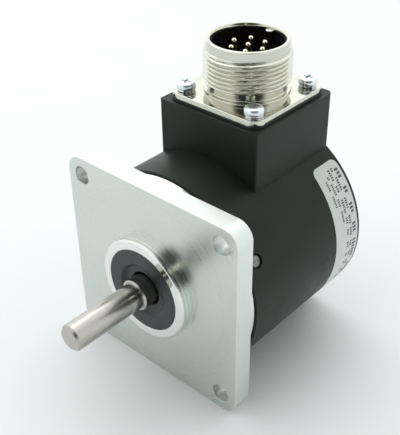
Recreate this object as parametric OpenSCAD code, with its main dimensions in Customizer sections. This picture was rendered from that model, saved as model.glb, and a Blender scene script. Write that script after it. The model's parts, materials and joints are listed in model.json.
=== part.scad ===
// Incremental rotary encoder with a square flange, a solid shaft and a threaded receptacle on top.
// The shaft points along -Y, the receptacle along +Z, and the origin is the centre of the
// flange's mounting face.

/* [Flange] */
// Side of the square flange
flange_w = 63.5; // [62:0.5:66]
// Thickness of the flange plate
flange_t = 6.35; // [6:0.05:7]
// Corner radius of the flange plate
flange_corner_r = 5; // [3:0.5:6]
// Distance between the mounting holes, each way
hole_pitch = 52.37; // [50:0.01:53.5]
// Diameter of the mounting holes
hole_d = 5.54; // [4:0.01:6]
// Diameter of the pilot boss
pilot_d = 31.75; // [31:0.05:33]
// Height of the pilot boss
pilot_h = 3.65; // [3:0.05:4]

/* [Shaft] */
// Diameter of the shaft's free end
shaft_d = 7.94; // [6:0.01:8.2]
// Diameter of the shaft where the seal and bearings run
journal_d = 9.525; // [9.525:0.005:9.53]
// Reach of the shaft in front of the mounting face
shaft_reach = 30.5; // [20:0.5:40]
// Reach of the journal in front of the mounting face
journal_reach = 7; // [5:0.5:9]

/* [Cover] */
// Outer diameter of the rear cover
cover_d = 63.5; // [63:0.1:65]
// Wall thickness of the rear cover
cover_wall = 2.55; // [2:0.05:2.55]
// Side of the connector block
block_w = 35.5; // [35:0.1:36]
// Height of the connector block's top above the shaft axis
block_top = 44.15; // [43.5:0.05:45]

/* [Connector] */
// Distance of the connector's axis behind the mounting face
conn_y = 42.2; // [42.2:0.1:42.4]
// Side of the connector's square plate
plate_w = 32.54; // [32:0.02:33]
// Distance between the connector screws, each way
screw_pitch = 24.6; // [24.4:0.1:24.8]
// Outer diameter of the coupling thread
thread_d = 25.4; // [25:0.1:25.4]
// Pitch of the coupling thread
thread_pitch = 1.27; // [1.2:0.01:1.27]
// Radius of the circle of outer contacts
contact_circle_r = 5.05; // [4.6:0.05:5.1]

/* [Code disc] */
// Diameter of the code disc
disc_d = 40; // [36:1:40]
// Number of slots in the disc's track
slot_count = 90; // [30:10:100]

/* [Hidden] */

$fn = 64;
// Depth by which a cut runs past the face that it opens
over = 1;
// Radial gap of a sliding fit
fit = 0.03;

// Flange and its spigot
pilot_r = pilot_d / 2;
shoulder_r = 31.2;
shoulder_end = 8.55;
spigot_r = 29.1;
spigot_bore_r = 22.5;
spigot_end = 18.5;
barrel_r = 14.5;
barrel_end = 36;
edge_chamfer = 0.4;

// Seal
seal_r = 12.95;
seal_depth = 2.8;
seal_mouth_r = 7.7;
web_bore_r = 7.4;

// Ball bearings
race_w = 7.142;
race_r = 11.1125;
ball_r = 1.984;
ball_circle_r = 7.9375;
ball_count = 7;
groove_r = 2.04;
outer_land_r = 9.02;
inner_land_r = 6.86;
shield_step_r = 9.45;
shield_step = 0.7;
front_race_y = 4.6;
rear_race_y = 24.4;
rear_race_end = rear_race_y + race_w;
cage_w = 5;

// Retaining rings
barrel_ring_y = 33.3;
ring_t = 1;
ring_gap = 0.02;

// Shaft
shaft_r = shaft_d / 2;
journal_r = journal_d / 2;
collar_r = 5.8;
stub_r = 4;
stub_start = 33.6;
shaft_end = 47.5;
tip_chamfer = 0.7;

// Rear cover
cover_r = cover_d / 2;
cover_start = 8.6;
cover_end = conn_y + block_w / 2;
cover_bore_r = cover_r - cover_wall;
rear_wall = 2.5;
rear_round = 1;
block_front_r = 0.6;
block_rear_r = 2;
conn_bore_r = 12;
cover_screw_y = 12.8;
cover_screw_angles = [28, 148, 268];

// Connector
gasket_t = 0.4;
plate_z = block_top + gasket_t;
plate_t = 2;
plate_top = plate_z + plate_t;
plate_corner_r = (plate_w - screw_pitch) / 2;
collar_top = 47.3;
thread_r = thread_d / 2;
thread_depth = 0.75;
thread_z = 49.8;
thread_turns = 7;
thread_top = thread_z + thread_turns * thread_pitch;
neck_r = 11.85;
rim_z = 61.9;
shell_bore_r = 10.4;
barrel_rear_r = 11.6;
barrel_rear_z = 34.5;
insert_z = 37;
insert_top = 51;
pin_top = 60.1;
cup_z = 34;

// Disc and optics
hub_y = 37;
hub_flange_y = 43.6;
disc_y = 45.4;
disc_t = 0.4;
disc_bore_r = 6;
clamp_r = 12;
clamp_t = 1;
slot_mid_r = 18.1;
slot_len = 2.4;
board_y = 50.5;
board_t = 1.6;
board_r = 28.2;
standoff_circle_r = 25.4;
standoff_angles = [0, 120, 240];
clamp_screw_angles = [90, 210, 330];

// ---- helpers -------------------------------------------------------------

// Stand a shape that is drawn along +Z along +Y instead, starting at y
module along_y(y = 0) {
    translate([0, y, 0])
        rotate([-90, 0, 0])
            children();
}

// Solid of revolution about the shaft axis, from points [radius, y]
module turned(points) {
    along_y()
        rotate_extrude($fn = 128)
            polygon(points);
}

// Ring about the shaft axis from y to y + w
module ring(r_in, r_out, y, w) {
    turned([[r_in, y], [r_out, y], [r_out, y + w], [r_in, y + w]]);
}

// Plain disc about the shaft axis from y to y + w
module round_bar(r, y, w) {
    along_y(y)
        cylinder(h = w, r = r, $fn = 128);
}

// Turn a shape that is drawn on the +X side to an angle from +X towards +Z
module at_angle(a) {
    rotate([0, -a, 0])
        children();
}

// Copies of a shape drawn on the +X side, at each angle in the list
module around_y(angles) {
    for (a = angles)
        at_angle(a)
            children();
}

// Place a shape at the four corners of a square of side pitch
module at_corners(pitch) {
    for (i = [-1, 1], j = [-1, 1])
        translate([i * pitch / 2, j * pitch / 2, 0])
            children();
}

// Outline of a square with round corners
module round_square(w, r) {
    square([w, w - 2 * r], center = true);
    square([w - 2 * r, w], center = true);
    at_corners(w - 2 * r)
        circle(r, $fn = 48);
}

// Doughnut about the shaft axis
module torus_y(big_r, small_r, y) {
    along_y(y)
        rotate_extrude($fn = 128)
            translate([big_r, 0])
                circle(small_r, $fn = 48);
}

// Retaining ring with a gap of half-angle a on its +X side, from y to y + w
module open_ring(r_in, r_out, y, w, a) {
    difference() {
        ring(r_in, r_out, y, w);
        translate([0, y - over, 0])
            rotate([-90, 0, 0])
                linear_extrude(w + 2 * over)
                    polygon([[0, 0], [3 * r_out, -3 * r_out * tan(a)], [3 * r_out, 3 * r_out * tan(a)]]);
    }
}

// ---- flange and seal -----------------------------------------------------

module front_flange() {
    color([0.82, 0.84, 0.83])
    difference() {
        union() {
            along_y()
                linear_extrude(flange_t)
                    round_square(flange_w, flange_corner_r);
            turned([[0, -pilot_h], [pilot_r - edge_chamfer, -pilot_h], [pilot_r, edge_chamfer - pilot_h],
                    [pilot_r, over], [0, over]]);
            round_bar(shoulder_r, flange_t - over, shoulder_end - flange_t + over);
            ring(spigot_bore_r, spigot_r, shoulder_end - over, spigot_end - shoulder_end + over);
            round_bar(barrel_r, shoulder_end - over, barrel_end - shoulder_end + over);
        }
        // Seat of the shaft seal
        round_bar(seal_r + fit, -pilot_h - over, pilot_h + seal_depth + 0.1 + over);
        // Way through for the shaft's collar
        round_bar(web_bore_r, 0, 10);
        // Bearing bore, open to the rear
        round_bar(race_r + fit, front_race_y, barrel_end);
        // Groove of the retaining ring
        round_bar(12.1, barrel_ring_y, ring_t);
        // Groove of the cover's O-ring
        ring(spigot_r - 1.5, spigot_r + over, 14.9, 2.2);
        // Mounting holes
        along_y(-over)
            at_corners(hole_pitch)
                cylinder(h = flange_t + 2 * over, d = hole_d);
        // Threaded holes of the cover screws
        around_y(cover_screw_angles)
            translate([spigot_bore_r - over, cover_screw_y, 0])
                rotate([0, 90, 0])
                    cylinder(h = 10, r = 1.25, $fn = 24);
        // Threaded holes of the board's standoffs
        around_y(standoff_angles)
            translate([standoff_circle_r, spigot_end - 7, 0])
                along_y()
                    cylinder(h = 7 + over, r = 1.25, $fn = 24);
    }
}

module shaft_seal() {
    lip_r = journal_r + fit;
    color([0.08, 0.08, 0.08])
    turned([[seal_mouth_r, -pilot_h], [seal_r, -pilot_h], [seal_r, seal_depth], [9.8, seal_depth],
            [9.8, -0.9], [6.6, -0.9], [6.2, 1.3], [5.5, 1.3], [lip_r, 0.5], [lip_r, 0.2], [5.3, -0.6],
            [5.6, -2.2], [seal_mouth_r, -2.2]]);
}

module seal_case() {
    color([0.6, 0.6, 0.6])
    turned([[9.8, -0.9], [9.8, seal_depth], [9.3, seal_depth], [9.3, -0.4], [7.6, -0.4], [7.6, -0.9]]);
}

module garter_spring() {
    color([0.75, 0.75, 0.7])
    torus_y(6.93, 0.55, 0.5);
}

// ---- ball bearings -------------------------------------------------------

module outer_race(y) {
    color([0.7, 0.72, 0.74])
    difference() {
        ring(outer_land_r, race_r, y, race_w);
        torus_y(ball_circle_r, groove_r, y + race_w / 2);
        round_bar(shield_step_r, y - over, over + shield_step);
        round_bar(shield_step_r, y + race_w - shield_step, over + shield_step);
    }
}

module inner_race(y) {
    color([0.7, 0.72, 0.74])
    difference() {
        ring(journal_r + 0.01, inner_land_r, y, race_w);
        torus_y(ball_circle_r, groove_r, y + race_w / 2);
    }
}

module balls(y) {
    color([0.85, 0.86, 0.88])
    around_y([for (i = [0 : ball_count - 1]) i * 360 / ball_count])
        translate([ball_circle_r, y + race_w / 2, 0])
            sphere(ball_r, $fn = 32);
}

module cage(y) {
    color([0.75, 0.62, 0.35])
    difference() {
        ring(7.2, 8.7, y + (race_w - cage_w) / 2, cage_w);
        around_y([for (i = [0 : ball_count - 1]) i * 360 / ball_count])
            translate([5, y + race_w / 2, 0])
                rotate([0, 90, 0])
                    cylinder(h = 6, r = ball_r + 0.07, $fn = 32);
    }
}

module front_outer_race() { outer_race(front_race_y); }
module rear_outer_race() { outer_race(rear_race_y); }
module front_inner_race() { inner_race(front_race_y); }
module rear_inner_race() { inner_race(rear_race_y); }
module front_balls() { balls(front_race_y); }
module rear_balls() { balls(rear_race_y); }
module front_cage() { cage(front_race_y); }
module rear_cage() { cage(rear_race_y); }

module bearing_shields() {
    shield_t = 0.35;
    inset = 0.25;
    color([0.7, 0.7, 0.72])
    for (y = [front_race_y, rear_race_y]) {
        ring(7.15, 9.4, y + inset, shield_t);
        ring(7.15, 9.4, y + race_w - inset - shield_t, shield_t);
    }
}

module bearing_spacer() {
    y = front_race_y + race_w;
    color([0.65, 0.67, 0.7])
    ring(journal_r + 0.02, 6.4, y, rear_race_y - y);
}

// Crest-to-crest washer that follows a sine three times round
module wave_spring() {
    steps = 96;
    t = 0.3;
    low = rear_race_end + ring_gap;
    high = barrel_ring_y - ring_gap;
    mid = (low + high - t) / 2;
    swing = (high - low - t) / 2;
    r_in = 9.5;
    r_out = 10.9;
    points = [for (i = [0 : steps - 1]) let (a = i * 360 / steps, y = mid + swing * sin(3 * a))
              for (p = [[r_in, y], [r_out, y], [r_out, y + t], [r_in, y + t]])
              [p[0] * cos(a), p[1], p[0] * sin(a)]];
    faces = [for (i = [0 : steps - 1], k = [0 : 3]) let (n = (i + 1) % steps, m = (k + 1) % 4)
             [4 * i + k, 4 * i + m, 4 * n + m, 4 * n + k]];
    color([0.6, 0.62, 0.66])
    polyhedron(points, faces);
}

module barrel_snap_ring() {
    color([0.35, 0.35, 0.37])
    at_angle(270)
        difference() {
            union() {
                open_ring(10.3, 12, barrel_ring_y + ring_gap, ring_t - 2 * ring_gap, 12);
                for (a = [-16, 16])
                    at_angle(a)
                        translate([9.8, 0, 0])
                            round_bar(1.2, barrel_ring_y + ring_gap, ring_t - 2 * ring_gap);
            }
            for (a = [-16, 16])
                at_angle(a)
                    translate([9.8, 0, 0])
                        round_bar(0.5, barrel_ring_y - over, 3);
        }
}

module shaft_snap_ring() {
    color([0.35, 0.35, 0.37])
    open_ring(4.25, 6.3, rear_race_end + ring_gap, 0.78, 25);
}

// ---- shaft and rotor -----------------------------------------------------

module shaft() {
    step_chamfer = 0.5;
    color([0.75, 0.76, 0.75])
    difference() {
        turned([[0, -shaft_reach], [shaft_r - tip_chamfer, -shaft_reach], [shaft_r, tip_chamfer - shaft_reach],
                [shaft_r, -journal_reach], [journal_r - step_chamfer, -journal_reach],
                [journal_r, step_chamfer - journal_reach], [journal_r, 3], [collar_r, 3],
                [collar_r, front_race_y], [journal_r, front_race_y], [journal_r, stub_start],
                [stub_r, stub_start], [stub_r, shaft_end - 0.4], [stub_r - 0.4, shaft_end], [0, shaft_end]]);
        // Groove of the retaining ring behind the rear bearing
        ring(4.2, 6, rear_race_end, 0.82);
    }
}

module disc_hub() {
    color([0.8, 0.81, 0.82])
    difference() {
        union() {
            round_bar(9, hub_y, hub_flange_y - hub_y + 0.5);
            round_bar(clamp_r + 0.5, hub_flange_y, disc_y - hub_flange_y);
            round_bar(disc_bore_r - fit, disc_y - 0.5, 1.4);
        }
        round_bar(stub_r + 0.01, hub_y - over, 15);
        // Threaded holes of the clamp screws
        around_y(clamp_screw_angles)
            translate([9.5, hub_flange_y - over, 0])
                along_y()
                    cylinder(h = 5, r = 0.85, $fn = 24);
        // Threaded hole of the set screw
        translate([0, hub_y + 3.3, 0])
            cylinder(h = 12, r = 1.5, $fn = 24);
    }
}

module hub_set_screw() {
    color([0.2, 0.2, 0.22])
    translate([0, hub_y + 3.3, stub_r + fit])
        difference() {
            cylinder(h = 4.6, r = 1.47, $fn = 24);
            translate([0, 0, 3])
                cylinder(h = 2, r = 0.85, $fn = 6);
        }
}

module code_disc() {
    slot_w = PI * slot_mid_r / slot_count;
    color([0.55, 0.58, 0.62])
    along_y(disc_y)
        linear_extrude(disc_t)
            difference() {
                circle(disc_d / 2, $fn = 128);
                circle(disc_bore_r, $fn = 64);
                for (i = [0 : slot_count - 1])
                    rotate(i * 360 / slot_count)
                        translate([slot_mid_r, 0])
                            square([slot_len, slot_w], center = true);
                // One index slot
                translate([15.4, 0])
                    square([1.4, slot_w], center = true);
                for (a = clamp_screw_angles)
                    rotate(-a)
                        translate([9.5, 0])
                            circle(1.1, $fn = 24);
            }
}

module disc_clamp_ring() {
    color([0.8, 0.81, 0.82])
    difference() {
        ring(disc_bore_r + 0.05, clamp_r, disc_y + disc_t, clamp_t);
        around_y(clamp_screw_angles)
            translate([9.5, disc_y - over, 0])
                along_y()
                    cylinder(h = 5, r = 1.1, $fn = 24);
    }
}

module clamp_screws() {
    head_y = disc_y + disc_t + clamp_t;
    color([0.7, 0.7, 0.68])
    around_y(clamp_screw_angles)
        translate([9.5, 0, 0])
            difference() {
                union() {
                    round_bar(0.82, hub_flange_y + 0.1, head_y - hub_flange_y);
                    round_bar(1.6, head_y, 1.1);
                }
                translate([0, head_y + 0.9, 0])
                    cube([4, 0.8, 0.4], center = true);
            }
}

// ---- rear cover ----------------------------------------------------------

// Plan of the connector block: small corner radii in front and larger ones at the rear
module block_outline() {
    half = block_w / 2;
    rear = half - block_rear_r;
    front = half - block_front_r;
    polygon([[-half, -front], [half, -front], [half, rear], [rear, half], [-rear, half], [-half, rear]]);
    translate([-front, -half])
        square([2 * front, 2]);
    for (i = [-1, 1]) {
        translate([i * front, -front])
            circle(block_front_r, $fn = 32);
        translate([i * rear, rear])
            circle(block_rear_r, $fn = 48);
    }
}

module rear_cover() {
    head_seat_r = cover_r - 1.5;
    color([0.13, 0.15, 0.14])
    difference() {
        union() {
            turned([[0, cover_start], [cover_r - 0.25, cover_start], [cover_r, cover_start + 0.25],
                    for (a = [0 : 22.5 : 90])
                        [cover_r - rear_round + rear_round * cos(a), cover_end - rear_round + rear_round * sin(a)],
                    [0, cover_end]]);
            translate([0, conn_y, 15])
                linear_extrude(block_top - 15)
                    block_outline();
        }
        round_bar(cover_bore_r, cover_start - over, cover_end - rear_wall - cover_start + over);
        // Bore for the connector's rear barrel
        translate([0, conn_y, 20])
            cylinder(h = 40, r = conn_bore_r, $fn = 96);
        // Threaded holes of the connector screws
        translate([0, conn_y, block_top - 9])
            at_corners(screw_pitch)
                cylinder(h = 12, r = 1.45, $fn = 24);
        // Countersunk holes of the cover screws
        around_y(cover_screw_angles)
            translate([0, cover_screw_y, 0])
                rotate([0, 90, 0]) {
                    cylinder(h = 40, r = 1.3, $fn = 24);
                    translate([0, 0, head_seat_r])
                        cylinder(h = 5, r = 2, $fn = 32);
                }
    }
}

module cover_screws() {
    head_seat_r = cover_r - 1.5;
    color([0.45, 0.46, 0.46])
    around_y(cover_screw_angles)
        translate([0, cover_screw_y, 0])
            rotate([0, 90, 0])
                difference() {
                    union() {
                        translate([0, 0, spigot_bore_r + 1.5])
                            cylinder(h = head_seat_r - spigot_bore_r, r = 1.22, $fn = 24);
                        translate([0, 0, head_seat_r])
                            cylinder(h = 1.35, r = 1.9, $fn = 32);
                    }
                    translate([0, 0, head_seat_r + 0.4])
                        cylinder(h = 2, r = 1.1, $fn = 6);
                }
}

module cover_o_ring() {
    color([0.1, 0.1, 0.1])
    torus_y(spigot_r - 0.76, 0.72, 16);
}

module rating_label() {
    top_angle = 49.5;
    bottom_angle = -50;
    label_t = 0.12;
    y_front = 46.9;
    y_rear = 58.2;
    color([0.86, 0.88, 0.86])
    intersection() {
        ring(cover_r + 0.01, cover_r + label_t, y_front, y_rear - y_front);
        rotate([90, 0, 0])
            translate([0, 0, -cover_end])
                linear_extrude(cover_end)
                    polygon([[0, 0], 60 * [cos(bottom_angle), sin(bottom_angle)], [60, 0],
                             60 * [cos(top_angle), sin(top_angle)]]);
    }
}

// ---- connector -----------------------------------------------------------

module connector_gasket() {
    color([0.07, 0.07, 0.07])
    translate([0, conn_y, block_top])
        linear_extrude(gasket_t)
            difference() {
                round_square(plate_w + 0.3, plate_corner_r);
                circle(barrel_rear_r + 0.2, $fn = 96);
                at_corners(screw_pitch)
                    circle(1.6, $fn = 24);
            }
}

module connector_shell() {
    crest = 0.14;
    half = thread_pitch / 2;
    root_r = thread_r - thread_depth;
    color([0.78, 0.77, 0.68])
    translate([0, conn_y, 0])
        difference() {
            union() {
                translate([0, 0, plate_z])
                    linear_extrude(plate_t)
                        round_square(plate_w, plate_corner_r);
                // Rear barrel, collar, undercut, thread and rim
                rotate_extrude($fn = 128)
                    polygon([[0, barrel_rear_z], [barrel_rear_r, barrel_rear_z], [barrel_rear_r, plate_z + 0.5],
                             [12.6, plate_z + 0.5], [12.6, collar_top - 0.3], [12.4, collar_top],
                             [11.5, collar_top + 0.2], [11.5, thread_z - 0.6],
                             for (i = [0 : thread_turns - 1])
                                 each [[root_r, thread_z + i * thread_pitch],
                                       [thread_r, thread_z + i * thread_pitch + half - crest],
                                       [thread_r, thread_z + i * thread_pitch + half + crest]],
                             [neck_r, thread_top + 0.1], [neck_r, rim_z - 0.4], [neck_r - 0.4, rim_z],
                             [0, rim_z]]);
            }
            translate([0, 0, barrel_rear_z - over])
                cylinder(h = 40, r = shell_bore_r, $fn = 96);
            // Chamfer inside the rim
            translate([0, 0, rim_z - 0.5])
                cylinder(h = 1, r1 = shell_bore_r - 0.1, r2 = shell_bore_r + 0.9, $fn = 96);
            // Groove of the insert's snap ring
            translate([0, 0, insert_z - 1])
                cylinder(h = 0.9, r = shell_bore_r + 0.4, $fn = 96);
            at_corners(screw_pitch)
                cylinder(h = 100, r = 1.6, $fn = 24);
        }
    // Polarising key inside the rim
    key_r = 1.2;
    key_mid = 8.45 + key_r;
    color([0.78, 0.77, 0.68])
    translate([0, conn_y, insert_top + 0.1])
        linear_extrude(rim_z - 1 - insert_top - 0.1) {
            translate([0, key_mid])
                circle(key_r, $fn = 32);
            translate([-1.15, key_mid])
                square([2.3, shell_bore_r + 0.4 - key_mid]);
        }
}

// Places of the seven contacts in the connector's own plane
contacts = [[0, 0], for (a = [0 : 60 : 300]) contact_circle_r * [cos(a), sin(a)]];

module connector_insert() {
    color([0.06, 0.06, 0.06])
    translate([0, conn_y, insert_z])
        linear_extrude(insert_top - insert_z)
            difference() {
                circle(shell_bore_r - fit, $fn = 96);
                for (c = contacts)
                    translate(c)
                        circle(1.23, $fn = 24);
            }
}

module insert_snap_ring() {
    color([0.4, 0.4, 0.42])
    translate([0, conn_y, insert_z - 0.95])
        linear_extrude(0.8)
            difference() {
                circle(shell_bore_r + 0.35, $fn = 96);
                circle(9.2, $fn = 96);
                translate([0, 10])
                    square([3, 6], center = true);
            }
}

module contact_pins() {
    pin_r = 0.8;
    body_r = 1.2;
    color([0.85, 0.75, 0.5])
    translate([0, conn_y, 0])
        for (c = contacts)
            translate(c)
                difference() {
                    rotate_extrude($fn = 32)
                        polygon([[0, cup_z], [body_r, cup_z], [body_r, insert_top - 0.2], [pin_r, insert_top],
                                 for (a = [0 : 18 : 90]) [pin_r * cos(a), pin_top - pin_r + pin_r * sin(a)]]);
                    // Solder cup
                    translate([0, 0, cup_z - over])
                        cylinder(h = over + 2.5, r = 0.8, $fn = 24);
                }
}

module connector_screws() {
    washer_t = 0.7;
    head_z = plate_top + washer_t;
    head_r = 2.78;
    color([0.8, 0.83, 0.86])
    translate([0, conn_y, 0])
        at_corners(screw_pitch)
            difference() {
                rotate_extrude($fn = 48)
                    polygon([[0, head_z - 9.5], [1.42, head_z - 9.5], [1.42, head_z], [head_r, head_z],
                             [head_r, head_z + 1], [head_r - 0.25, head_z + 1.5], [head_r - 0.8, head_z + 1.85],
                             [head_r - 1.8, head_z + 2.03], [0, head_z + 2.06]]);
                // Cross recess
                translate([0, 0, head_z + 0.8])
                    for (a = [0, 90])
                        rotate(a)
                            translate([-1.5, -0.3, 0])
                                cube([3, 0.6, 3]);
            }
}

module lock_washers() {
    color([0.72, 0.76, 0.8])
    translate([0, conn_y, plate_top])
        at_corners(screw_pitch)
            linear_extrude(0.7)
                difference() {
                    circle(2.62, $fn = 48);
                    circle(1.55, $fn = 32);
                    rotate(35)
                        translate([0, -0.2])
                            square([4, 0.4]);
                }
}

// ---- sensor electronics --------------------------------------------------

module sensor_board() {
    notch_w = 18;
    color([0.1, 0.35, 0.2])
    difference() {
        round_bar(board_r, board_y, board_t);
        round_bar(5, board_y - over, board_t + 2 * over);
        // Notch for the wires
        translate([-notch_w / 2, board_y - over, 20])
            cube([notch_w, board_t + 2 * over, 20]);
        around_y(standoff_angles)
            translate([standoff_circle_r, board_y - over, 0])
                along_y()
                    cylinder(h = board_t + 2 * over, r = 1.3, $fn = 24);
    }
}

module board_standoffs() {
    color([0.78, 0.7, 0.45])
    around_y(standoff_angles)
        translate([standoff_circle_r, 0, 0])
            difference() {
                union() {
                    along_y(spigot_end)
                        cylinder(h = board_y - spigot_end, r = 2.4, $fn = 6);
                    along_y(spigot_end - 6)
                        cylinder(h = 8, r = 1.22, $fn = 24);
                }
                along_y(board_y - 6)
                    cylinder(h = 8, r = 1.25, $fn = 24);
            }
}

module board_screws() {
    head_y = board_y + board_t;
    color([0.75, 0.76, 0.76])
    around_y(standoff_angles)
        translate([standoff_circle_r, 0, 0])
            difference() {
                union() {
                    along_y(board_y - 5)
                        cylinder(h = 5 + board_t, r = 1.22, $fn = 24);
                    along_y(head_y)
                        cylinder(h = 1.4, r = 2.2, $fn = 32);
                }
                along_y(head_y + 0.6)
                    cylinder(h = 2, r = 1.1, $fn = 6);
            }
}

// Fork that reaches round the disc's edge, below the shaft
module emitter_holder() {
    fork_w = 9;
    fork_front = 40.5;
    color([0.1, 0.1, 0.1])
    at_angle(270)
        difference() {
            translate([14.6, fork_front, -fork_w / 2])
                cube([9.6, board_y - fork_front, fork_w]);
            // Slot for the disc
            translate([13, 44.4, -fork_w])
                cube([8.4, 2.6, 2 * fork_w]);
            // Hole of the light emitter
            translate([slot_mid_r, fork_front - over, 0])
                along_y()
                    cylinder(h = 6, r = 1.55, $fn = 32);
            // Pocket of the mask plate and the sensor chip
            translate([slot_mid_r - 2.4, 46, -2.9])
                cube([4.8, 6, 5.8]);
        }
}

module light_emitter() {
    color([0.9, 0.9, 0.95])
    at_angle(270)
        translate([slot_mid_r, 0, 0]) {
            round_bar(1.5, 40.9, 2.2);
            along_y(43.1)
                cylinder(h = 0.9, r1 = 1.5, r2 = 0.7, $fn = 32);
        }
}

module mask_plate() {
    slot_w = PI * slot_mid_r / slot_count;
    color([0.5, 0.5, 0.55])
    at_angle(270)
        translate([slot_mid_r, 47.2, 0])
            difference() {
                translate([-2.35, 0, -2.85])
                    cube([4.7, 0.4, 5.7]);
                for (i = [-1, 1])
                    translate([-slot_len / 2, -over, (i * 2.5 - 0.5) * slot_w])
                        cube([slot_len, 3, slot_w]);
            }
}

module sensor_chip() {
    color([0.12, 0.12, 0.13])
    at_angle(270)
        translate([slot_mid_r - 2.2, 48.7, -2.7])
            cube([4.4, board_y - 48.7, 5.4]);
}

module board_components() {
    y = board_y + board_t;
    color([0.12, 0.12, 0.13]) {
        translate([-17, y, -4])
            cube([8, 1.6, 6]);
        translate([9, y, -4])
            cube([8, 1.6, 6]);
        translate([-4, y, -15])
            cube([8, 1.6, 6]);
        for (x = [-19, -15, 13, 17])
            translate([x, y, 7])
                cube([1.6, 0.9, 2.6]);
        for (x = [-10, 8])
            translate([x, y, -18])
                cube([2.6, 1.1, 1.6]);
    }
}

module board_header() {
    color([0.85, 0.83, 0.76])
    translate([-8, board_y + board_t, 12])
        cube([16, 2, 5.4]);
}

wire_pitch = 2.1;
plug_top = 18.2;
wire_start_y = board_y + board_t + 3.3;

module harness_plug() {
    color([0.9, 0.88, 0.8])
    translate([-8.3, board_y + board_t + 2, 11.6])
        cube([16.6, 2.6, plug_top - 11.6]);
}

// Contact that each wire goes to, from -X to +X
wire_targets = [4, 5, 3, 0, 2, 6, 1];

// Point at u from 0 to 1 on the curve of wire i: up out of the plug and into the solder cup
function wire_point(i, u) =
    let (c = contacts[wire_targets[i]],
         start = [(i - 3) * wire_pitch, wire_start_y, plug_top],
         end = [c[0], conn_y + c[1], cup_z + 2])
    pow(1 - u, 3) * start + 3 * u * pow(1 - u, 2) * (start + [0, 0, 7])
    + 3 * u * u * (1 - u) * (end - [0, 0, 9]) + pow(u, 3) * end;

module harness_wire(i) {
    sides = 8;
    rings = 12;
    wire_r = 0.5;
    points = [for (k = [0 : rings]) let (p = wire_point(i, k / rings),
              d = k == 0 || k == rings ? [0, 0, 1]
                  : wire_point(i, (k + 0.5) / rings) - wire_point(i, (k - 0.5) / rings),
              n = d / norm(d), side = cross([0, 1, 0], n), s = side / norm(side), t = cross(n, s))
              for (j = [0 : sides - 1]) let (a = j * 360 / sides)
              p + wire_r * (cos(a) * s + sin(a) * t)];
    faces = [[for (j = [0 : sides - 1]) j],
             for (k = [0 : rings - 1], j = [0 : sides - 1]) let (m = (j + 1) % sides)
                 [sides * k + j, sides * (k + 1) + j, sides * (k + 1) + m, sides * k + m],
             [for (j = [0 : sides - 1]) sides * rings + sides - 1 - j]];
    polyhedron(points, faces);
}

module harness_wires() {
    color([0.6, 0.3, 0.2])
    for (i = [0 : 6])
        harness_wire(i);
}

front_flange();
shaft_seal();
seal_case();
garter_spring();
front_outer_race();
rear_outer_race();
bearing_shields();
wave_spring();
barrel_snap_ring();
cover_o_ring();
rear_cover();
cover_screws();
rating_label();
connector_gasket();
connector_shell();
connector_insert();
insert_snap_ring();
contact_pins();
connector_screws();
lock_washers();
sensor_board();
board_standoffs();
board_screws();
emitter_holder();
light_emitter();
mask_plate();
sensor_chip();
board_components();
board_header();
harness_plug();
harness_wires();
shaft();
front_inner_race();
rear_inner_race();
bearing_spacer();
shaft_snap_ring();
disc_hub();
code_disc();
disc_clamp_ring();
clamp_screws();
hub_set_screw();
front_balls();
front_cage();
rear_balls();
rear_cage();
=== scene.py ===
"""Looks of the rotary encoder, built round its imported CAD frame. Everything is in metres.

The shaft points along -Y, the receptacle along +Z, and the flange's mounting face is at y = 0.
"""
import json
import math
import random

import bmesh
import bpy
from mathutils import Matrix, Vector


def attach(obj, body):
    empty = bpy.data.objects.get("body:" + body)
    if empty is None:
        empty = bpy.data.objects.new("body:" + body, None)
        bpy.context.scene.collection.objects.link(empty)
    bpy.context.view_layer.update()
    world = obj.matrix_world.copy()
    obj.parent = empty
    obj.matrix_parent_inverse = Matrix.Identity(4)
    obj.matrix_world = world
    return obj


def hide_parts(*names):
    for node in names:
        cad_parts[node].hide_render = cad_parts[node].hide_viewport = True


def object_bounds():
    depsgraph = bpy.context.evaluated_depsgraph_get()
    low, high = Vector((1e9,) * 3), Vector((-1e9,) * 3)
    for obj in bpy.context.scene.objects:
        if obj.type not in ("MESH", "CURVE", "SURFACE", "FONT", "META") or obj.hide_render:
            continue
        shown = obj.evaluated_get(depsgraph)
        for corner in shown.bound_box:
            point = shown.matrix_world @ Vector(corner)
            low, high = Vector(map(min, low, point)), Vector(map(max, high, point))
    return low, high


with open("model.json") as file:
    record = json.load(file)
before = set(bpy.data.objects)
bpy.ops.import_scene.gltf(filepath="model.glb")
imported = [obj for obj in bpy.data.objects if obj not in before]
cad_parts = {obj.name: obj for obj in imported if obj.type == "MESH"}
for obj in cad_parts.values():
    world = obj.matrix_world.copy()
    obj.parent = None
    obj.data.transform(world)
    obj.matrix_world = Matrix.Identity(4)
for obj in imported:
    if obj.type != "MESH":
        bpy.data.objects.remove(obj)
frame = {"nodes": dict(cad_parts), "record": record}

MM = 0.001
CAD_BOX = [list(map(float, corner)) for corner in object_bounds()]
NODES = frame["nodes"]

# Sizes in mm that several pieces share, as in the CAD.
FLANGE_SIDE, FLANGE_DEPTH = 63.5, 6.35
HOLE_REACH, HOLE_R = 26.185, 2.77
BOSS_R, BOSS_BORE_R, BOSS_FRONT = 15.875, 12.98, -3.65
COVER_R = 31.75


# ---- shader helpers --------------------------------------------------------

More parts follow.
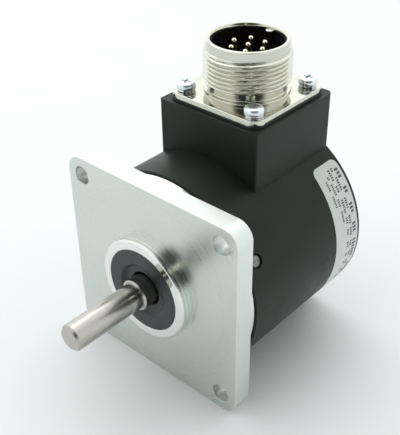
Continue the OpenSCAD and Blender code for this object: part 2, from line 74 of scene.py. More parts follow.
class Shader:
    """A material's node tree, with short calls for the nodes that this file uses."""

    def __init__(self, name, color, rough, metal=0.0, specular=0.5, coat=0.0):
        self.mat = bpy.data.materials.new(name)
        self.mat.use_nodes = True
        self.tree = self.mat.node_tree
        self.bsdf = self.tree.nodes["Principled BSDF"]
        self.color = color
        self.bsdf.inputs["Base Color"].default_value = (*color, 1)
        self.bsdf.inputs["Roughness"].default_value = rough
        self.bsdf.inputs["Metallic"].default_value = metal
        self.bsdf.inputs["Specular IOR Level"].default_value = specular
        self.bsdf.inputs["Coat Weight"].default_value = coat
        self.bsdf.inputs["Coat Roughness"].default_value = 0.1

    def node(self, kind, **settings):
        made = self.tree.nodes.new(kind)
        for key, value in settings.items():
            setattr(made, key, value)
        return made

    def link(self, source, target):
        self.tree.links.new(source, target)

    def coords(self, stretch=(1, 1, 1)):
        """Places on the object in millimetres, stretched along each axis."""
        place = self.node("ShaderNodeTexCoord").outputs["Object"]
        scale = self.node("ShaderNodeVectorMath", operation="MULTIPLY")
        scale.inputs[1].default_value = [s / MM for s in stretch]
        self.link(place, scale.inputs[0])
        return scale.outputs[0]

    def noise(self, size, detail=3.0, stretch=(1, 1, 1), vector=None):
        """Noise whose blobs are about size millimetres across."""
        made = self.node("ShaderNodeTexNoise")
        made.inputs["Scale"].default_value = 1 / size
        made.inputs["Detail"].default_value = detail
        self.link(vector or self.coords(stretch), made.inputs["Vector"])
        return made.outputs["Fac"]

    def ramp(self, value, low, high, out_low=0.0, out_high=1.0):
        """value from low to high, taken to out_low to out_high."""
        made = self.node("ShaderNodeMapRange")
        ends = {"From Min": low, "From Max": high, "To Min": out_low, "To Max": out_high}
        for key, number in ends.items():
            made.inputs[key].default_value = number
        self.link(value, made.inputs["Value"])
        return made.outputs["Result"]

    def math(self, operation, a, b=0.0):
        made = self.node("ShaderNodeMath", operation=operation)
        for socket, value in zip(made.inputs, (a, b)):
            if isinstance(value, (int, float)):
                socket.default_value = value
            else:
                self.link(value, socket)
        return made.outputs[0]

    def rough_by(self, value, low, high):
        """Roughness from low to high, as value goes from 0.3 to 0.7."""
        self.link(self.ramp(value, 0.3, 0.7, low, high), self.bsdf.inputs["Roughness"])

    def tint_by(self, value, other, low=0.3, high=0.7):
        """Colour that turns to other as value goes from low to high."""
        mix = self.node("ShaderNodeMix", data_type="RGBA")
        mix.inputs["A"].default_value = (*self.color, 1)
        mix.inputs["B"].default_value = (*other, 1)
        self.link(self.ramp(value, low, high), mix.inputs["Factor"])
        self.link(mix.outputs["Result"], self.bsdf.inputs["Base Color"])

    def bump(self, value, depth):
        """Relief of depth millimetres."""
        made = self.node("ShaderNodeBump")
        made.inputs["Strength"].default_value = 1.0
        made.inputs["Distance"].default_value = depth * MM
        self.link(value, made.inputs["Height"])
        self.link(made.outputs["Normal"], self.bsdf.inputs["Normal"])

    def turned_lines(self, size):
        """Fine noise that changes along the shaft and with the distance from it, as on turned metal."""
        place = self.node("ShaderNodeSeparateXYZ")
        self.link(self.coords(), place.inputs[0])
        x, y, z = place.outputs
        squares = self.math("ADD", self.math("MULTIPLY", x, x), self.math("MULTIPLY", z, z))
        radius = self.math("SQRT", squares)
        joined = self.node("ShaderNodeCombineXYZ")
        self.link(radius, joined.inputs[0])
        self.link(y, joined.inputs[1])
        return self.noise(size, 4, vector=joined.outputs[0])


# ---- materials -------------------------------------------------------------

def metal(name, color, rough, spread=0.06, relief=0.002, lines=0.0):
    """Bare or plated metal: uneven gloss, slight stains and a fine grain or turning lines."""
    s = Shader(name, color, rough, metal=1.0)
    s.rough_by(s.noise(6, 4), rough - spread / 2, rough + spread)
    s.tint_by(s.noise(9, 3), [c * 0.93 for c in color])
    s.bump(s.turned_lines(lines) if lines else s.noise(0.5, 3), relief)
    return s.mat


def plastic(name, color, rough, grain=0.4, relief=0.004, shade=0.85, specular=0.5):
    """Moulded plastic or rubber: fine grain, faint patches and worn gloss."""
    s = Shader(name, color, rough, specular=specular)
    s.rough_by(s.noise(5, 4), rough - 0.05, rough + 0.08)
    s.tint_by(s.noise(7, 3), [c * shade for c in color])
    s.bump(s.noise(grain, 3), relief)
    return s.mat


def flange_aluminium():
    """Satin face of the flange plate, with faint marks from turning."""
    # Colour kept darker than the milled sides' as painted shade on the front face.
    s = Shader("flange_aluminium", (0.66, 0.70, 0.665), 0.3, metal=1.0)
    s.rough_by(s.turned_lines(1.6), 0.24, 0.36)
    s.tint_by(s.noise(10, 5, (0.3, 1, 1)), (0.62, 0.655, 0.625))
    return s.mat


def turned_aluminium():
    """Finer, brighter finish of the turned boss and shoulder."""
    s = Shader("turned_aluminium", (0.80, 0.82, 0.80), 0.09, metal=1.0)
    s.rough_by(s.noise(5, 4), 0.07, 0.12)
    s.bump(s.turned_lines(0.22), 0.0012)
    return s.mat


def ground_steel():
    """Shaft ground with fine lines round it, so that reflections spread along it."""
    s = Shader("shaft_steel", (0.48, 0.46, 0.425), 0.19, metal=1.0)
    s.rough_by(s.turned_lines(0.6), 0.16, 0.22)
    s.bump(s.turned_lines(0.18), 0.0016)
    return s.mat


def milled_aluminium_painted_light():
    """Duller milled edges of the flange plate, coloured paler than its face as painted light on the
    sides and top.
    """
    # Paler than the face's colour: painted light on the sides and top, besides the rougher milled
    # finish.
    s = Shader("milled_aluminium_painted_light", (0.78, 0.82, 0.80), 0.42, metal=1.0)
    s.rough_by(s.noise(2, 4), 0.36, 0.48)
    s.bump(s.noise(0.5, 3, (0.2, 1.6, 0.2)), 0.004)
    return s.mat


def cover_black():
    """Satin black paint of the cover, with a fine texture."""
    s = Shader("cover_black", (0.0105, 0.0165, 0.0115), 0.40, specular=0.22)
    s.rough_by(s.noise(7, 5), 0.38, 0.47)
    s.tint_by(s.noise(12, 4), (0.0135, 0.0195, 0.0145))
    s.bump(s.noise(0.35, 3), 0.006)
    return s.mat


def board_green():
    """Coated circuit board with paler patches."""
    s = Shader("board_green", (0.02, 0.16, 0.07), 0.35, coat=0.5)
    s.tint_by(s.noise(1.2, 2, (1, 1, 0.3)), (0.03, 0.22, 0.10), 0.45, 0.55)
    s.bump(s.noise(0.6, 3), 0.01)
    return s.mat


LOOKS = {
    "turned_aluminium": turned_aluminium(),
    "milled_aluminium_painted_light": milled_aluminium_painted_light(),
    "flange_aluminium": flange_aluminium(),
    "cover_black": cover_black(),
    "seal_rubber": plastic("seal_rubber", (0.020, 0.025, 0.026), 0.36, 0.5, 0.003),
    "o_ring_rubber": plastic("o_ring_rubber", (0.02, 0.02, 0.02), 0.5),
    "gasket_rubber": plastic("gasket_rubber", (0.015, 0.017, 0.016), 0.6),
    "seal_steel": metal("seal_steel", (0.5, 0.5, 0.5), 0.35, lines=0.3),
    "spring_steel": metal("spring_steel", (0.5, 0.5, 0.52), 0.3),
    "ring_steel": metal("ring_steel", (0.13, 0.13, 0.14), 0.4),
    "bearing_steel": metal("bearing_steel", (0.66, 0.67, 0.69), 0.12, relief=0.0005, lines=0.2),
    "shield_steel": metal("shield_steel", (0.55, 0.55, 0.57), 0.3, lines=0.3),
    "cage_brass": metal("cage_brass", (0.72, 0.54, 0.26), 0.28),
    "cover_screw_steel": metal("cover_screw_steel", (0.22, 0.235, 0.23), 0.38),
    "nickel_plate": metal("nickel_plate", (0.66, 0.65, 0.57), 0.10, 0.04, 0.0008),
    "insert_black": plastic("insert_black", (0.006, 0.005, 0.004), 0.6, specular=0.12),
    "contact_plating": metal("contact_plating", (0.92, 0.86, 0.66), 0.18),
    "zinc_plate": metal("zinc_plate", (0.78, 0.84, 0.88), 0.22, 0.08),
    "board_laminate": board_green(),
    "standoff_brass": metal("standoff_brass", (0.72, 0.58, 0.30), 0.25),
    "inner_screw_steel": metal("inner_screw_steel", (0.66, 0.67, 0.67), 0.3),
    "holder_black": plastic("holder_black", (0.02, 0.02, 0.02), 0.45),
    "emitter_lens": plastic("emitter_lens", (0.75, 0.77, 0.82), 0.1, relief=0.001,
                            shade=0.97),
    "etched_steel": metal("etched_steel", (0.5, 0.52, 0.55), 0.25),
    "package_black": plastic("package_black", (0.018, 0.018, 0.02), 0.5),
    "header_nylon": plastic("header_nylon", (0.72, 0.69, 0.58), 0.45),
    "wire_insulation": plastic("wire_insulation", (0.42, 0.08, 0.05), 0.35, relief=0.002),
    "shaft_steel": ground_steel(),
    "spacer_steel": metal("spacer_steel", (0.5, 0.51, 0.53), 0.3, lines=0.3),
    "hub_aluminium": metal("hub_aluminium", (0.76, 0.77, 0.78), 0.25, lines=0.3),
    "set_screw_steel": metal("set_screw_steel", (0.08, 0.08, 0.09), 0.4),
    "label_film": plastic("label_film", (0.70, 0.735, 0.71), 0.35, 1.5, 0.002, 0.97),
    "label_print": plastic("label_print", (0.085, 0.09, 0.09), 0.5),
}


def dress_frame():
    """Gives each CAD node the look of its material slot."""
    for part in frame["record"]["subparts"]:
        node = NODES[part["node"]]
        node.data.materials.clear()
        node.data.materials.append(LOOKS[part["material_slot"]])


dress_frame()


# ---- shape helpers ---------------------------------------------------------

def soften(points, radius, steps=3):
    """A closed profile with each corner rounded over by about radius."""
    done = []
    for i, (x, y) in enumerate(points):
        ends = []
        for px, py in (points[i - 1], points[(i + 1) % len(points)]):
            away = math.hypot(px - x, py - y)
            cut = min(radius, away * 0.45)
            ends.append((x + (px - x) * cut / away, y + (py - y) * cut / away))
        (ax, ay), (bx, by) = ends
        for k in range(steps + 1):
            t = k / steps
            done.append(((1 - t) ** 2 * ax + 2 * t * (1 - t) * x + t * t * bx,
                         (1 - t) ** 2 * ay + 2 * t * (1 - t) * y + t * t * by))
    return done


def spin(bm, profile, at=(0, 0, 0), axis="Z", steps=128, look=0, start=0.0, sweep=2 * math.pi,
         rise=0.0):
    """Turns a closed profile of (radius, height) in mm about an axis.

    The profile may be a function of the angle. A rise lifts it steadily along the axis.
    """
    whole = sweep >= 2 * math.pi - 1e-9
    count = steps if whole else steps + 1
    rings = []
    for i in range(count):
        angle = start + sweep * i / steps
        lift = rise * i / steps
        points = profile(angle) if callable(profile) else profile
        ring = []
        for r, h in points:
            u, v, w = r * math.cos(angle), r * math.sin(angle), h + lift
            place = Vector((u, v, w) if axis == "Z" else (u, w, v)) + Vector(at)
            ring.append(bm.verts.new(place * MM))
        rings.append(ring)
    for i in range(steps):
        here, there = rings[i], rings[(i + 1) % count]
        for k in range(len(here)):
            m = (k + 1) % len(here)
            bm.faces.new((here[k], here[m], there[m], there[k])).material_index = look
    if not whole:
        bm.faces.new(rings[0]).material_index = look
        bm.faces.new(rings[-1]).material_index = look


def round_rect(width, height, radius, steps=10):
    """Outline of a rectangle with round corners, in mm."""
    points = []
    for i, (sx, sy) in enumerate(((1, 1), (-1, 1), (-1, -1), (1, -1))):
        for k in range(steps + 1):
            a = math.pi / 2 * (i + k / steps)
            points.append((sx * (width / 2 - radius) + radius * math.cos(a),
                           sy * (height / 2 - radius) + radius * math.sin(a)))
    return points


def circle(x, y, radius, steps=48):
    """Outline of a hole, in mm, wound against its plate's outline."""
    angles = [-2 * math.pi * k / steps for k in range(steps)]
    return [(x + radius * math.cos(a), y + radius * math.sin(a)) for a in angles]


def evaluated_mesh(obj):
    """Mesh of an object with its curves filled and its modifiers applied."""
    ready = obj.evaluated_get(bpy.context.evaluated_depsgraph_get())
    return bpy.data.meshes.new_from_object(ready)


def add_plate(bm, loops, low, high, edge, placing):
    """Adds a plate with softened edges, from outlines in mm.

    It lies between two heights before it is placed.
    """
    data = bpy.data.curves.new("outline", "CURVE")
    data.dimensions = "2D"
    data.fill_mode = "BOTH"
    data.extrude = ((high - low) / 2 - edge) * MM
    data.bevel_depth = edge * MM
    data.bevel_resolution = 2
    data.offset = -edge * MM
    for loop in loops:
        spline = data.splines.new("POLY")
        spline.points.add(len(loop) - 1)
        for point, (x, y) in zip(spline.points, loop):
            point.co = (x * MM, y * MM, 0, 1)
        spline.use_cyclic_u = True
    maker = bpy.data.objects.new("outline", data)
    bpy.context.collection.objects.link(maker)
    mesh = evaluated_mesh(maker)
    bpy.data.objects.remove(maker)
    mesh.transform(Matrix.Translation((0, 0, (low + high) / 2 * MM)))
    mesh.transform(placing)
    bm.from_mesh(mesh)


def finish_mesh(name, bm, looks, sharp=35):
    """Turns a bmesh into a smooth-shaded mesh that keeps its sharp edges."""
    bmesh.ops.remove_doubles(bm, verts=bm.verts, dist=1e-7)
    bmesh.ops.recalc_face_normals(bm, faces=bm.faces)
    mesh = bpy.data.meshes.new(name)
    bm.to_mesh(mesh)
    bm.free()
    for face in mesh.polygons:
        face.use_smooth = True
    mesh.set_sharp_from_angle(angle=math.radians(sharp))
    for look in looks:
        mesh.materials.append(LOOKS[look])
    return mesh


def show(name, mesh, stands_for):
    """Places a finished mesh as a piece of the housing that stands for a CAD node."""
    obj = bpy.data.objects.new(name, mesh)
    bpy.context.collection.objects.link(obj)
    weigh = obj.modifiers.new("normals", "WEIGHTED_NORMAL")
    weigh.keep_sharp = True
    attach(obj, "housing")
    if stands_for:
        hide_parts(stands_for)


def join_copies(name, mesh, placings, looks):
    """One mesh made of copies of another, each with its own placing."""
    bm = bmesh.new()
    for placing in placings:
        copy = mesh.copy()
        copy.transform(placing)
        bm.from_mesh(copy)
    return finish_mesh(name, bm, looks)


# ---- connector -------------------------------------------------------------

# Sizes in mm: the receptacle's axis, its plate, the screws round it and the coupling thread.
CONN_Y = 42.2
PLATE_SIDE, PLATE_LOW, PLATE_TOP = 32.54, 44.55, 46.55
SCREW_REACH = 12.3
SCREW_PLACES = [(sx * SCREW_REACH, CONN_Y + sy * SCREW_REACH) for sx in (-1, 1) for sy in (-1, 1)]
THREAD_LOW, THREAD_HIGH, PITCH = 49.8, 59.0, 1.27
ROOT_R, THREAD_DEPTH = 11.93, 0.76
BARREL_R, BARREL_BORE_R = 11.5, 10.4


def clamp(value):
    return min(1.0, max(0.0, value))


def shell_profile(angle):
    """Section of the coupling barrel at an angle: rim, helical thread, undercut and collar."""
    turn = angle / (2 * math.pi)
    outside = [(BARREL_R, 44.9), (12.6, 44.9), (12.6, 46.9), (12.56, 47.1), (12.45, 47.25),
               (12.25, 47.3), (11.62, 47.42), (BARREL_R, 47.6), (BARREL_R, 48.9)]
    rows = 108
    for k in range(rows + 1):
        z = THREAD_LOW - 0.6 + (THREAD_HIGH - THREAD_LOW + 0.9) * k / rows
        wave = 0.5 - 0.5 * math.cos(2 * math.pi * ((z - THREAD_LOW) / PITCH - turn))
        fade = clamp((z - THREAD_LOW + 0.25) / 0.5) * clamp((THREAD_HIGH + 0.1 - z) / 0.5)
        base = BARREL_R + (ROOT_R - BARREL_R) * clamp((z - THREAD_LOW + 0.5) / 0.4)
        outside.append((base + THREAD_DEPTH * fade * wave ** 0.85, z))
    rim = [(11.85, 59.3), (11.85, 59.45), (11.85, 61.35), (11.84, 61.45), (11.78, 61.7), (11.62, 61.84),
           (11.35, 61.9), (11.0, 61.88), (10.75, 61.72), (10.55, 61.45), (10.42, 61.2)]
    inside = [(BARREL_BORE_R, 60.9), (BARREL_BORE_R, 52), (BARREL_BORE_R, 45.2)]
    return outside + rim + inside


def make_shell():
    """Plate with four holes, threaded barrel, rear sleeve and the key inside the barrel."""
    bm = bmesh.new()
    place = Matrix.Translation((0, CONN_Y * MM, 0))
    spin(bm, shell_profile, (0, CONN_Y, 0), steps=160)
    loops = [round_rect(PLATE_SIDE, PLATE_SIDE, 3.97), circle(0, 0, BARREL_BORE_R, 96)]
    loops += [circle(x, y - CONN_Y, 1.6, 32) for x, y in SCREW_PLACES]
    add_plate(bm, loops, PLATE_LOW, PLATE_TOP, 0.18, place)
    rear = [(BARREL_BORE_R, 34.5), (11.6, 34.5), (11.6, 45.2), (BARREL_BORE_R, 45.2)]
    spin(bm, soften(rear, 0.2), (0, CONN_Y, 0), steps=96)
    key = [(1.15, 11.0), (1.15, 9.3), (0.8, 8.75), (0, 8.45), (-0.8, 8.75), (-1.15, 9.3),
           (-1.15, 11.0)]
    add_plate(bm, [key], 51.1, 60.9, 0.12, place)
    show("receptacle_shell", finish_mesh("receptacle_shell", bm, ["nickel_plate"]),
         "connector_shell")


def make_insert():
    """Insert with a black skirt up the shell's bore, a dark sleeve that is painted shade inside the
    shell, and a raised ring round each contact.
    """
    bm = bmesh.new()
    # The skirt, r 10.12 to 10.37 up to 60.9 mm, is painted shade: a black sleeve over the shell's bore.
    body = [(0.01, 37.0), (10.37, 37.0), (10.37, 60.9), (10.12, 60.9), (10.12, 51.3), (9.7, 51.0),
            (0.01, 51.0)]
    raised = [(0.82, 50.9), (1.5, 50.9), (1.35, 51.35), (0.82, 51.35)]
    spin(bm, soften(body, 0.12), (0, CONN_Y, 0), steps=96)
    for x, y in contact_places():
        spin(bm, soften(raised, 0.08), (x, CONN_Y + y, 0), steps=32)
    show("receptacle_insert", finish_mesh("receptacle_insert", bm, ["insert_black"]),
         "connector_insert")


def contact_places():
    """The middle of each contact, in mm from the receptacle's axis: one there and six round it."""
    reach = 5.05
    angles = [math.radians(60 * k) for k in range(6)]
    return [(0.0, 0.0)] + [(reach * math.cos(a), reach * math.sin(a)) for a in angles]


def cut_with(mesh, cutter):
    """The mesh with another mesh cut out of it."""
    body, tool = (bpy.data.objects.new("cut", m) for m in (mesh, cutter))
    for obj in (body, tool):
        bpy.context.collection.objects.link(obj)
    cut = body.modifiers.new("cut", "BOOLEAN")
    cut.operation = "DIFFERENCE"
    cut.solver = "EXACT"
    cut.use_self = True
    cut.object = tool
    made = evaluated_mesh(body)
    for obj in (body, tool):
        bpy.data.objects.remove(obj)
    return made


def cross_cutter(top, depth, arm, width):
    """Tapered cross, as a driver leaves it, open above top. Sizes in mm."""
    bm = bmesh.new()
    for turn in (0, math.pi / 2):
        rows = []
        spun = Matrix.Rotation(turn, 3, "Z")
        for z, a, w in ((top - depth, arm * 0.45, width * 0.75), (top + 0.6, arm * 1.15, width * 1.1)):
            corners = ((a, w), (-a, w), (-a, -w), (a, -w))
            rows.append([bm.verts.new(spun @ Vector((x / 2 * MM, y / 2 * MM, z * MM)))
                         for x, y in corners])
        low, high = rows
        bm.faces.new(low[::-1])
        bm.faces.new(high)
        for k in range(4):
            bm.faces.new((low[k], low[(k + 1) % 4], high[(k + 1) % 4], high[k]))
    bmesh.ops.recalc_face_normals(bm, faces=bm.faces)
    mesh = bpy.data.meshes.new("cross")
    bm.to_mesh(mesh)
    bm.free()
    return mesh


def at_screw_places(turns):
    """A placing at each of the plate's screws, turned by its own number of degrees."""
    return [Matrix.Translation((x * MM, y * MM, 0)) @ Matrix.Rotation(math.radians(turn), 4, "Z")
            for (x, y), turn in zip(SCREW_PLACES, turns)]


def make_connector_screws():
    """Pan-head screws, each with a cross recess."""
    seat = PLATE_TOP + 0.7
    top = seat + 2.06
    bm = bmesh.new()
    thread = [(0.01, seat - 9.4), (1.2, seat - 9.4), (1.42, seat - 9.0), (1.42, seat)]
    head = [(2.55, seat), (2.7, seat + 0.05), (2.76, seat + 0.2), (2.78, seat + 0.95),
            (2.72, seat + 1.2), (2.58, seat + 1.45), (2.35, seat + 1.65), (2.0, seat + 1.83),
            (1.5, seat + 1.96), (0.9, seat + 2.03), (0.01, top)]
    spin(bm, thread + head, steps=48)
    plain = finish_mesh("pan_head", bm, ["zinc_plate"])
    screw = cut_with(plain, cross_cutter(top, 1.2, 3.3, 0.66))
    screws = join_copies("receptacle_screws", screw, at_screw_places((20, 62, 35, 8)), ["zinc_plate"])
    show("receptacle_screws", screws, "connector_screws")


def make_lock_washers():
    """Split washers, whose ends stand apart in height."""
    bm = bmesh.new()
    low, high = PLATE_TOP, PLATE_TOP + 0.55
    section = soften([(1.55, low), (2.6, low), (2.6, high), (1.55, high)], 0.1)
    spin(bm, section, steps=40, start=math.radians(5), sweep=math.radians(350), rise=0.14)
    washer = finish_mesh("split_washer", bm, ["zinc_plate"])
    placings = at_screw_places((-60, 20, -115, -30))
    show("split_washers", join_copies("split_washers", washer, placings, ["zinc_plate"]),
         "lock_washers")


make_shell()
make_insert()
make_connector_screws()
make_lock_washers()


# ---- flange ----------------------------------------------------------------

def make_flange():
    """Plate with four holes, grooved pilot boss, shoulder, spigot and bearing barrel."""
    bm = bmesh.new()
    stand = Matrix.Rotation(math.radians(-90), 4, "X")
    loops = [round_rect(FLANGE_SIDE, FLANGE_SIDE, 5)]
    loops += [circle(sx * HOLE_REACH, sy * HOLE_REACH, HOLE_R) for sx in (-1, 1) for sy in (-1, 1)]
    loops += [circle(0, 0, BOSS_BORE_R, 96)]
    add_plate(bm, loops, 0.0, FLANGE_DEPTH, 0.22, stand)
    # Sides and top take the milled look: rougher, and a paler colour that is painted light.
    for face in bm.faces:
        if abs(face.normal.y) < 0.6:
            face.material_index = 2
    boss = [(BOSS_BORE_R, BOSS_FRONT + 0.05), (13.1, BOSS_FRONT), (15.35, BOSS_FRONT),
            (BOSS_R, -3.2), (BOSS_R, -2.15), (15.83, -2.1), (15.83, -2.0), (BOSS_R, -1.95),
            (BOSS_R, 0.1), (16.2, 1.0), (BOSS_BORE_R, 1.0)]
    spin(bm, soften(boss, 0.12), axis="Y", steps=160, look=1)
    shoulder = [(14.5, 6.0), (31.2, 6.0), (31.2, 8.55), (14.5, 8.55)]
    spin(bm, soften(shoulder, 0.2), axis="Y", steps=160, look=1)
    spigot = [(22.5, 8.3), (29.1, 8.3), (29.1, 14.9), (27.6, 14.9), (27.6, 17.1), (29.1, 17.1),
              (29.1, 18.5), (22.5, 18.5)]
    spin(bm, soften(spigot, 0.15), axis="Y", steps=128)
    barrel = [(7.4, 2.9), (BOSS_BORE_R, 2.9), (BOSS_BORE_R, 1.0), (14.5, 6.0), (14.5, 36.0),
              (12.0, 36.0), (12.0, 34.3), (12.1, 34.3), (12.1, 33.3), (11.14, 33.3), (11.14, 4.6),
              (7.4, 4.6)]
    spin(bm, soften(barrel, 0.1), axis="Y", steps=128)
    looks = ["flange_aluminium", "turned_aluminium", "milled_aluminium_painted_light"]
    show("mounting_flange", finish_mesh("mounting_flange", bm, looks, 28),
         "front_flange")


def make_seal():
    """Rubber body whose face dips to the lip."""
    bm = bmesh.new()
    face = [(12.95, BOSS_FRONT + 0.05), (12.8, BOSS_FRONT), (8.9, BOSS_FRONT), (8.45, -3.5),
            (8.0, -3.1), (7.5, -2.5), (6.9, -2.25), (6.1, -2.3), (5.55, -2.45), (5.25, -2.2),
            (5.05, -1.2)]
    rear = [(4.8, 0.2), (4.8, 0.5), (5.5, 1.3), (6.2, 1.3), (6.6, -0.9), (9.8, -0.9), (9.8, 2.8),
            (12.95, 2.8)]
    spin(bm, face + rear, axis="Y", steps=128)
    show("seal_body", finish_mesh("seal_body", bm, ["seal_rubber"]), "shaft_seal")


def make_seal_spring():
    """Garter spring: a coil of thin wire bent into a ring behind the lip."""
    bm = bmesh.new()
    ring_r, ring_y, coil_r, wire_r = 6.93, 0.5, 0.42, 0.12
    turns, per_turn, around = 96, 8, 10
    count = turns * per_turn
    rings = []
    for i in range(count):
        a = 2 * math.pi * i / count
        swing = 2 * math.pi * turns * i / count
        r, y = ring_r + coil_r * math.cos(swing), ring_y + coil_r * math.sin(swing)
        ring = []
        for k in range(around):
            b = 2 * math.pi * k / around
            reach = r + wire_r * math.cos(b)
            place = Vector((reach * math.cos(a), y + wire_r * math.sin(b), reach * math.sin(a)))
            ring.append(bm.verts.new(place * MM))
        rings.append(ring)
    for here, there in zip(rings, rings[1:] + rings[:1]):
        for k in range(around):
            m = (k + 1) % around
            bm.faces.new((here[k], here[m], there[m], there[k]))
    show("seal_spring", finish_mesh("seal_spring", bm, ["spring_steel"]), "garter_spring")


def make_cover_screws():
    """Low domed screws, each with a narrow slot, set radially round the cover's front."""
    seat = COVER_R - 1.5
    bm = bmesh.new()
    thread = [(0.01, seat - 6), (1.22, seat - 6), (1.22, seat)]
    dome = [(1.85, seat), (1.9, seat + 0.1), (1.9, seat + 0.7), (1.75, seat + 1.0),
            (1.4, seat + 1.22), (0.8, seat + 1.33), (0.01, seat + 1.35)]
    spin(bm, thread + dome, steps=40)
    plain = finish_mesh("cover_screw", bm, ["cover_screw_steel"])
    bm = bmesh.new()
    slot_size = Matrix.Diagonal((5 * MM, 0.45 * MM, 1.4 * MM, 1))
    slot_place = Matrix.Translation((0, 0, (seat + 1.6) * MM))
    bmesh.ops.create_cube(bm, size=1, matrix=slot_place @ slot_size)
    slot_tool = bpy.data.meshes.new("slot")
    bm.to_mesh(slot_tool)
    bm.free()
    screw = cut_with(plain, slot_tool)
    placings = [Matrix.Translation((0, 12.8 * MM, 0)) @ Matrix.Rotation(math.radians(90 - a), 4, "Y")
                @ Matrix.Rotation(math.radians(turn), 4, "Z")
                for a, turn in ((28, 70), (148, 15), (268, 40))]
    screws = join_copies("slotted_cover_screws", screw, placings, ["cover_screw_steel"])
    show("slotted_cover_screws", screws, "cover_screws")


make_flange()
make_seal()
make_seal_spring()
make_cover_screws()


# ---- label -----------------------------------------------------------------

LABEL_R = COVER_R + 0.085


def curved_patch(bm, y_low, y_high, start, end, radius, corner=0.0, depth=0.0, look=0):
    """Sheet on a cylinder about the shaft axis, from one angle to another, with round corners."""
    length = (end - start) * radius
    pieces = max(1, round(length / 0.8))
    stops = {0.0, length}
    stops.update(length * k / pieces for k in range(1, pieces))
    for k in range(1, 9):
        cut = corner * (1 - math.cos(math.pi / 2 * k / 8))
        stops.update((cut, length - cut))
    columns = []
    for place in sorted(stops):
        near = min(place, length - place)
        inset = corner - math.sqrt(max(0.0, corner ** 2 - max(0.0, corner - near) ** 2))
        a = start + place / radius
        low, high, under = y_low + inset, y_high - inset, radius - depth
        columns.append([bm.verts.new(Vector((r * math.cos(a), y, r * math.sin(a))) * MM)
                        for r, y in ((under, low), (radius, low), (radius, high), (under, high))])
    pairs = ((0, 1), (1, 2), (2, 3)) if depth else ((1, 2),)
    for here, there in zip(columns, columns[1:]):
        for k, m in pairs:
            bm.faces.new((here[k], here[m], there[m], there[k])).material_index = look
    if depth:
        bm.faces.new(columns[0])
        bm.faces.new(columns[-1])


def make_label():
    """Label film with rows of plain bars where the print would be."""
    top, bottom = math.radians(49.5), math.radians(-50)
    bm = bmesh.new()
    curved_patch(bm, 46.9, 58.2, bottom, top, LABEL_R, 2.2, 0.08)
    show("label_sheet", finish_mesh("label_sheet", bm, ["label_film"]), "rating_label")

    rng = random.Random(4)
    bm = bmesh.new()
    radius = LABEL_R + 0.02
    # Each row's place along the shaft axis, half its height, and where along the arc it runs.
    rows = ((56.3, 0.8, 3.0, 40), (54.5, 0.5, 2.2, 48), (53.0, 0.5, 2.4, 50),
            (51.4, 0.42, 4.0, 18), (49.8, 0.42, 5.0, 14))
    for y, half, lead, reach in rows:
        place = lead
        while place < reach:
            word = rng.uniform(1.5, 5.0) * half / 0.5
            for k in range(max(1, int(word / (half * 1.5)))):
                a = top - (place + k * half * 1.5) / radius
                tall = half * rng.choice((1.0, 0.9, 0.7))
                curved_patch(bm, y - tall, y + half, a - half * 0.95 / radius, a, radius)
            place += word + rng.uniform(1.0, 2.0) * half / 0.5
    show("label_bars", finish_mesh("label_bars", bm, ["label_print"]), None)


make_label()


# ---- softened edges on the CAD's own pieces --------------------------------

def soften_node(name, width):
    """Rounds the sharp edges of a CAD node, in mm."""
    bevel = NODES[name].modifiers.new("edges", "BEVEL")
    bevel.width = width * MM
    bevel.segments = 2
    bevel.limit_method = "ANGLE"
    bevel.angle_limit = math.radians(32)
    bevel.use_clamp_overlap = False
    bevel.harden_normals = True


for node_name, edge_width in (("rear_cover", 0.45), ("shaft", 0.12), ("connector_gasket", 0.1),
                              ("contact_pins", 0.05)):
    soften_node(node_name, edge_width)


# ---- stage, light and camera -----------------------------------------------

DIM_SIDE = (0.57, -0.53, 0.63)


def area_light(name, place, target, side, power):
    """Square lamp of a side in metres and a power in watts, turned to a target."""
    data = bpy.data.lights.new(name, "AREA")
    data.shape = "RECTANGLE"
    data.size = data.size_y = side
    data.energy = power
    light = bpy.data.objects.new(name, data)
    bpy.context.collection.objects.link(light)
    light.location = place
    light.rotation_mode = "QUATERNION"
    light.rotation_quaternion = (Vector(target) - Vector(place)).to_track_quat("-Z", "Y")


def make_floor():
    """Plain pale sheet that the part rests on."""
    reach, floor_z = 3.0, CAD_BOX[0][2]
    mesh = bpy.data.meshes.new("floor")
    corners = [(x * reach, y * reach, floor_z) for x, y in ((-1, -1), (1, -1), (1, 1), (-1, 1))]
    mesh.from_pydata(corners, [], [(0, 1, 2, 3)])
    floor = bpy.data.objects.new("floor", mesh)
    bpy.context.collection.objects.link(floor)
    s = Shader("floor_paper", (0.93, 0.94, 0.945), 0.6, specular=0.2)
    s.tint_by(s.noise(90, 3), (0.92, 0.93, 0.935))
    floor.data.materials.append(s.mat)


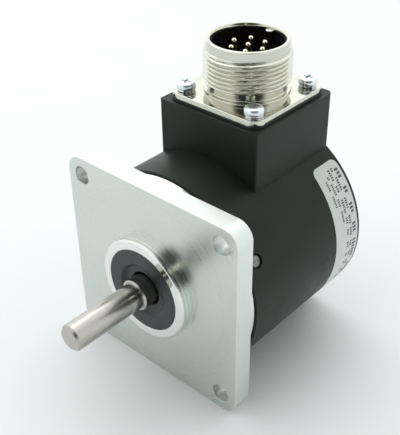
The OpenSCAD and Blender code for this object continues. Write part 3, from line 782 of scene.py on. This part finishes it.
def make_world():
    """Pale studio that is brighter at the left and has a dim side with a small lamp in front."""
    world = bpy.data.worlds.new("studio")
    world.use_nodes = True
    tree = world.node_tree
    background = tree.nodes["Background"]

    def node(kind, **settings):
        made = tree.nodes.new(kind)
        for key, value in settings.items():
            setattr(made, key, value)
        return made

    def lobe(direction, full, none):
        """1 within one angle of a direction, falling to 0 at another, in degrees."""
        dot = node("ShaderNodeVectorMath", operation="DOT_PRODUCT")
        dot.inputs[1].default_value = Vector(direction).normalized()
        tree.links.new(way, dot.inputs[0])
        fall = node("ShaderNodeMapRange", interpolation_type="SMOOTHSTEP")
        fall.inputs["From Min"].default_value = math.cos(math.radians(none))
        fall.inputs["From Max"].default_value = math.cos(math.radians(full))
        tree.links.new(dot.outputs["Value"], fall.inputs["Value"])
        return fall.outputs["Result"]

    def mix(below, color, factor):
        made = node("ShaderNodeMix", data_type="RGBA")
        if isinstance(below, tuple):
            made.inputs["A"].default_value = (*below, 1)
        else:
            tree.links.new(below, made.inputs["A"])
        made.inputs["B"].default_value = (*color, 1)
        tree.links.new(factor, made.inputs["Factor"])
        return made.outputs["Result"]

    way = node("ShaderNodeTexCoord").outputs["Generated"]
    light = mix((1.0, 1.04, 1.03), (1.36, 1.41, 1.41), lobe((-0.5, 0.45, 0.75), 18, 60))
    light = mix(light, (0.045, 0.05, 0.05), lobe(DIM_SIDE, 27, 48))
    light = mix(light, (4.5, 4.4, 3.6), lobe(DIM_SIDE, 2.2, 3.6))
    tree.links.new(light, background.inputs["Color"])
    background.inputs["Strength"].default_value = 1.06
    bpy.context.scene.world = world


def make_camera():
    """Camera at the place, aim and lens that were fitted to the photograph."""
    place = Vector((131.27, -122.48, 144.66)) * MM
    aim = Vector((0.8, 20.4, 13.04)) * MM
    roll = math.radians(-0.92)
    data = bpy.data.cameras.new("camera")
    data.sensor_width = 36
    data.lens = 66.16
    data.clip_start = 0.01
    camera = bpy.data.objects.new("camera", data)
    bpy.context.collection.objects.link(camera)
    camera.location = place
    camera.rotation_mode = "QUATERNION"
    turn = Matrix.Rotation(roll, 3, "Z").to_quaternion()
    camera.rotation_quaternion = (aim - place).to_track_quat("-Z", "Y") @ turn
    bpy.context.scene.camera = camera
    bpy.context.scene.view_settings.view_transform = "Standard"


make_floor()
make_world()
area_light("key", (-0.35, 0.15, 0.6), (0, 0.02, 0.01), 0.45, 0.6)
make_camera()
